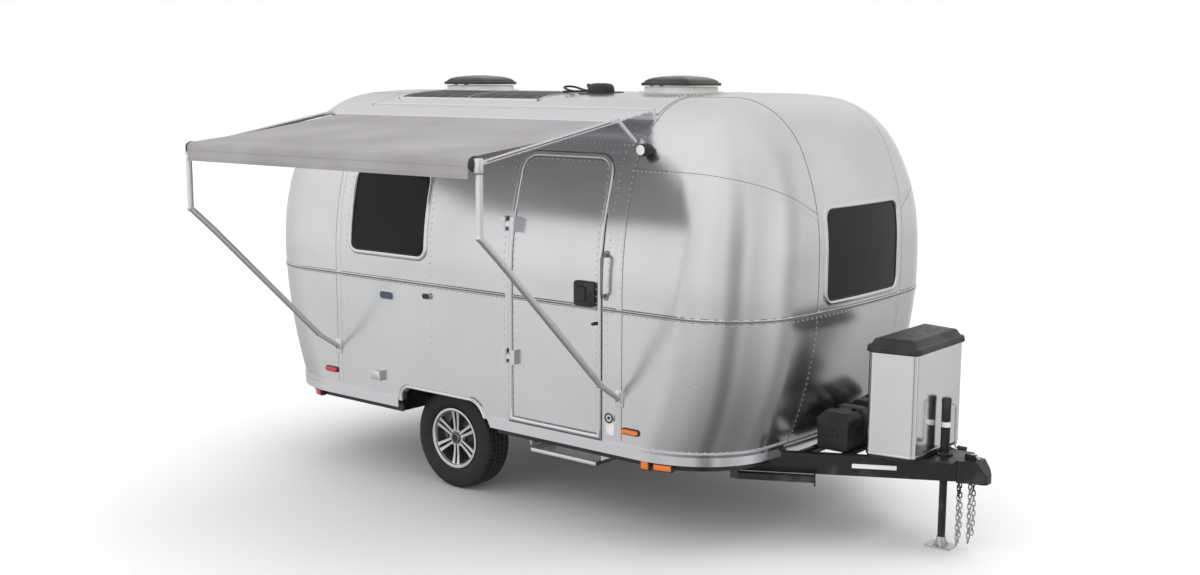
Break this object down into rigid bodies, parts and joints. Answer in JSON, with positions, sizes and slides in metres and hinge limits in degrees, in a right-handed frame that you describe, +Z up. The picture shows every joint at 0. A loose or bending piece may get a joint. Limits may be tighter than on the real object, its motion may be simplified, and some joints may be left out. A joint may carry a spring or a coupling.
{
  "type": "travel caravan",
  "caption": "Small rounded travel caravan of riveted polished aluminium sheet on a single axle, with a side awning, entrance door, roof vents and towing tongue.",
  "frame": {"origin": "centre of the towing ball in the coupler, 470 mm above the ground", "axes": "+X forward along the tongue, +Y to the left, +Z up; the ground is at Z = -0.470"},
  "size_m": [5.4889, 3.734, 2.878],
  "materials": {
    "polished_aluminium": "polished",
    "trim_aluminium": "satin",
    "dark_glass": "smoked",
    "black_paint": "semi-gloss",
    "zinc": "plated",
    "black_plastic": "matte",
    "white_plastic": "weathered",
    "amber_lens": "clear",
    "red_lens": "clear",
    "tyre": "matte",
    "wheel_silver": "satin",
    "cast_dark": "dull",
    "cloth": "woven",
    "panel_dark": "gloss",
    "bottle_paint": "gloss",
    "floor_board": "plain",
    "pan_sheet": "dull"
  },
  "bodies": {
    "caravan": {"awning_fabric": "cloth", "awning_lower_arms": "trim_aluminium", "awning_rafters": "trim_aluminium", "awning_rail": "trim_aluminium", "awning_roller": "trim_aluminium", "awning_slats": "trim_aluminium", "axle_arms": "black_paint", "axle_beam": "black_paint", "base_rail": "trim_aluminium", "battery_boxes": "black_plastic", "belly_pan": "pan_sheet", "belt_moulding": "trim_aluminium", "cable_entry": "white_plastic", "coupler": "black_paint", "floor": "floor_board", "gas_bottles": "bottle_paint", "gas_cover": "polished_aluminium", "grab_handle": "trim_aluminium", "hinge_knuckles": "trim_aluminium", "jack_crank": "black_paint", "jack_tube": "black_paint", "lamps_amber": "amber_lens", "lamps_red": "red_lens", "porch_lamp": "black_plastic", "safety_chains": "zinc", "shell_centre": "polished_aluminium", "shell_front": "polished_aluminium", "shell_rear": "polished_aluminium", "solar_panel": "panel_dark", "stabiliser_brackets": "black_paint", "step_frame": "trim_aluminium", "tongue_frame": "black_paint", "vent_bases": "white_plastic", "wall_fittings": "trim_aluminium", "wheel_arch_trims": "trim_aluminium", "wheel_housings": "pan_sheet", "window_frames": "trim_aluminium", "window_panes": "dark_glass"},
    "door": {"door_leaf": "polished_aluminium", "door_trim": "trim_aluminium", "door_hinge_leaves": "trim_aluminium", "door_lock": "black_plastic"},
    "wheel_left": {"tyre_left": "tyre", "rim_left": "wheel_silver", "drum_left": "cast_dark"},
    "wheel_right": {"tyre_right": "tyre", "rim_right": "wheel_silver", "drum_right": "cast_dark"},
    "jack_foot": {"jack_leg": "zinc"},
    "gas_lid": {"gas_cover_lid": "black_paint"},
    "roof_vent_front": {"vent_lid_front": "dark_glass"},
    "roof_vent_rear": {"vent_lid_rear": "dark_glass"},
    "leg_front_right": {"stabiliser_front_right": "black_paint"},
    "leg_front_left": {"stabiliser_front_left": "black_paint"},
    "leg_rear_right": {"stabiliser_rear_right": "black_paint"},
    "leg_rear_left": {"stabiliser_rear_left": "black_paint"},
    "step_arms": {"step_links": "black_paint"},
    "step_board": {"step_tread": "trim_aluminium"},
    "hatch": {"storage_hatch": "polished_aluminium"}
  },
  "joints": [
    {"name": "door_hinge", "type": "hinge", "parent": "caravan", "child": "door", "pos_m": [-2.738, -1.254, 1.03], "axis": [0, 0, -1], "range_deg": [0, 170]},
    {"name": "wheel_left_spin", "type": "hinge", "parent": "caravan", "child": "wheel_left", "pos_m": [-3.418, 0.968, -0.113], "axis": [0, 1, 0], "continuous": true},
    {"name": "wheel_right_spin", "type": "hinge", "parent": "caravan", "child": "wheel_right", "pos_m": [-3.418, -0.968, -0.113], "axis": [0, 1, 0], "continuous": true},
    {"name": "jack_lift", "type": "slide", "parent": "caravan", "child": "jack_foot", "axis": [0, 0, 1], "range_m": [0, 0.33]},
    {"name": "gas_lid_hinge", "type": "hinge", "parent": "caravan", "child": "gas_lid", "pos_m": [-0.619, 0, 0.769], "axis": [0, -1, 0], "range_deg": [0, 95]},
    {"name": "vent_front_hinge", "type": "hinge", "parent": "caravan", "child": "roof_vent_front", "pos_m": [-2.469, 0, 2.34], "axis": [0, -1, 0], "range_deg": [0, 80]},
    {"name": "vent_rear_hinge", "type": "hinge", "parent": "caravan", "child": "roof_vent_rear", "pos_m": [-4.369, 0, 2.34], "axis": [0, -1, 0], "range_deg": [0, 80]},
    {"name": "leg_front_right_hinge", "type": "hinge", "parent": "caravan", "child": "leg_front_right", "pos_m": [-1.245, -0.7938, -0.023], "axis": [-0.4803, 0.8771, 0], "range_deg": [0, 50]},
    {"name": "leg_front_left_hinge", "type": "hinge", "parent": "caravan", "child": "leg_front_left", "pos_m": [-1.245, 0.7938, -0.023], "axis": [0.4803, 0.8771, 0], "range_deg": [0, 50]},
    {"name": "leg_rear_right_hinge", "type": "hinge", "parent": "caravan", "child": "leg_rear_right", "pos_m": [-4.29, -0.8, -0.023], "axis": [0, -1, 0], "range_deg": [0, 50]},
    {"name": "leg_rear_left_hinge", "type": "hinge", "parent": "caravan", "child": "leg_rear_left", "pos_m": [-4.29, 0.8, -0.023], "axis": [0, -1, 0], "range_deg": [0, 50]},
    {"name": "step_arm_hinge", "type": "hinge", "parent": "caravan", "child": "step_arms", "pos_m": [-2.348, -1.065, 0.004], "axis": [-1, 0, 0], "range_deg": [0, 125]},
    {"name": "step_board_hinge", "type": "hinge", "parent": "step_arms", "child": "step_board", "pos_m": [-2.348, -0.905, -0.008], "axis": [-1, 0, 0], "range_deg": [-125, 0]},
    {"name": "hatch_hinge", "type": "hinge", "parent": "caravan", "child": "hatch", "pos_m": [-2.108, 1.234, 0.647], "axis": [1, 0, 0], "range_deg": [0, 100]}
  ],
  "couplings": [
    {"joint": "step_board_hinge", "follows": "step_arm_hinge", "ratio": -1}
  ]
}
